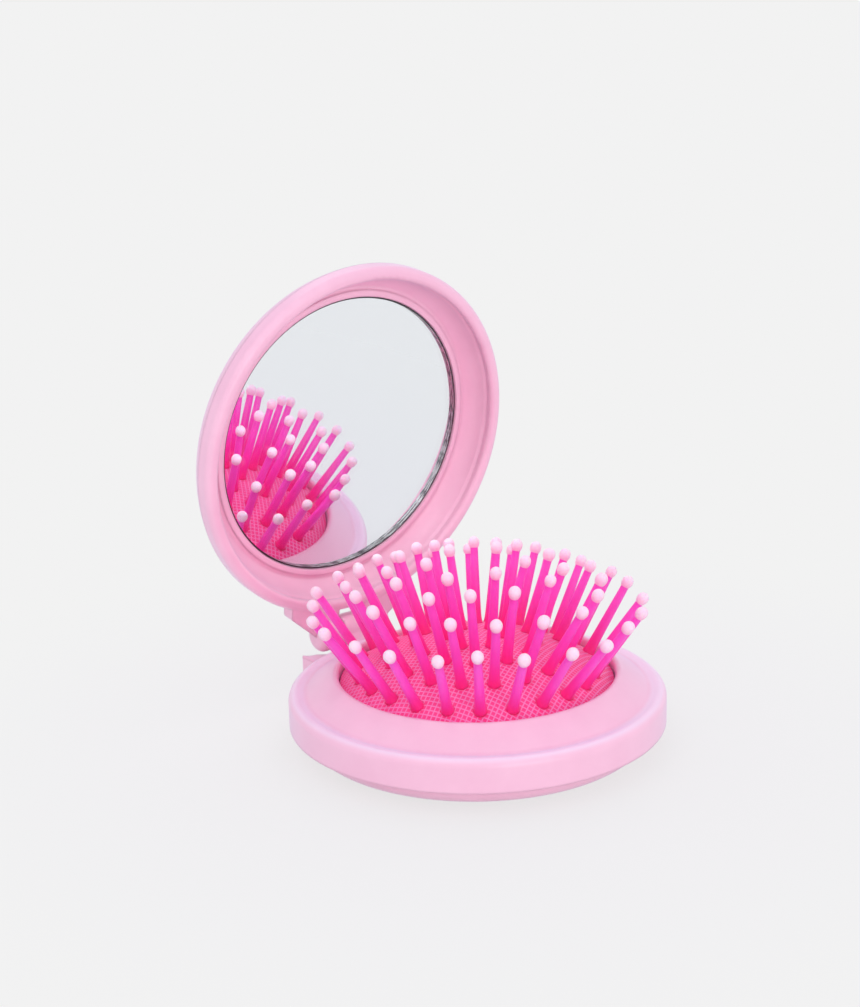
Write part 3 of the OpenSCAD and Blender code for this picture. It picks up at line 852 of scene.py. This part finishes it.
floor_mat = bpy.data.materials.new("pale_floor")
floor_mat.use_nodes = True
tree = floor_mat.node_tree
tree.nodes.remove(tree.nodes["Principled BSDF"])
matt = add(tree, "BsdfDiffuse", Color=srgb("EAEAEA"))
glow = add(tree, "Emission", Color=PALE, Strength=1.0)
fade = add(tree, "MapRange", {"Value": length(tree, own_place(tree))}, From_Min=SHADOW_FADE[0],
           From_Max=SHADOW_FADE[1], To_Min=SHADOW_SHARE, To_Max=0.0)
fade.interpolation_type = "SMOOTHSTEP"
soft = add(tree, "MixShader", {"Fac": fade.outputs["Result"], 1: glow.outputs[0],
                               2: matt.outputs[0]})
choose = add(tree, "MixShader", {"Fac": seen_directly(tree), 1: matt.outputs[0],
                                 2: soft.outputs[0]})
clear = add(tree, "BsdfTransparent")
under = tree.nodes.new("ShaderNodeNewGeometry").outputs["Backfacing"]
surface = add(tree, "MixShader", {"Fac": under, 1: choose.outputs[0], 2: clear.outputs[0]})
tree.links.new(surface.outputs[0], tree.nodes["Material Output"].inputs["Surface"])
print("shadow fades out", SHADOW_FADE[1], "m from the middle")

# %% [markdown]
# ## The disc of the floor
#
# A square plane would carry the finish as well, but a disc ends equally far away on every side. It
# lies a hair below the foot of the base, so that the two don't share a plane.

# %% Floor disc
FLOOR_R = 6
FLOOR_DROP = 0.05 * mm

bm = bmesh.new()
bmesh.ops.create_circle(bm, cap_ends=True, segments=64, radius=FLOOR_R)
bmesh.ops.translate(bm, verts=bm.verts, vec=(0, 0, -FLOOR_DROP))
floor_mesh = bpy.data.meshes.new("floor")
bm.to_mesh(floor_mesh)
bm.free()
floor_mesh.materials.append(floor_mat)
floor = bpy.data.objects.new("floor", floor_mesh)
bpy.context.collection.objects.link(floor)
print("floor faces", [round(v, 2) for v in floor_mesh.polygons[0].normal])

# %% [markdown]
# ## Lamps
#
# Three large soft lamps shape the forms: a cool key from above left, a low one at the front and a
# cool one from behind on the right. A sun would be simpler, but its hard shadows would cut the bed
# of pins to pieces. The lamps are weak enough that the palest pink stays below white.
#
# A mirror throws light back on what stands before it. Traced light finds that path only by
# chance, so a small dim lamp in front of the mirror, clear of the lid and unseen in the glass,
# stands in for it.

# %% Lamps
AIM = Vector((0, 0, 0.03))
COOL = (0.97, 0.95, 1.0)


def lamp(name, where, width, power, colour=(1, 1, 1)):
    """A square lamp of this width in metres and power in watts, facing the brush."""
    data = bpy.data.lights.new(name, "AREA")
    data.shape = "SQUARE"
    data.size = width
    data.energy = power
    data.color = colour
    obj = bpy.data.objects.new(name, data)
    obj.location = where
    obj.rotation_euler = (AIM - Vector(where)).to_track_quat("-Z", "Y").to_euler()
    bpy.context.collection.objects.link(obj)
    return obj


lamp("key", (-0.30, -0.15, 0.55), 0.4, 0.55, COOL)
lamp("front", (-0.16, -0.73, 0.14), 0.5, 1.5)
lamp("back", (0.24, 0.36, 0.60), 0.5, 0.6, COOL)
bounce = lamp("bounce", (0, 0.026, 0.050), 0.03, 0.006)
bounce.visible_camera = bounce.visible_glossy = bounce.visible_transmission = False
print("lamps:", ", ".join(light.name for light in bpy.data.lights))

# %% [markdown]
# ## Finish
#
# A filmic view would soften the bright parts and grey the pinks; the Standard view shows colours
# as they are written.

# %% Finish
bpy.context.scene.view_settings.view_transform = "Standard"
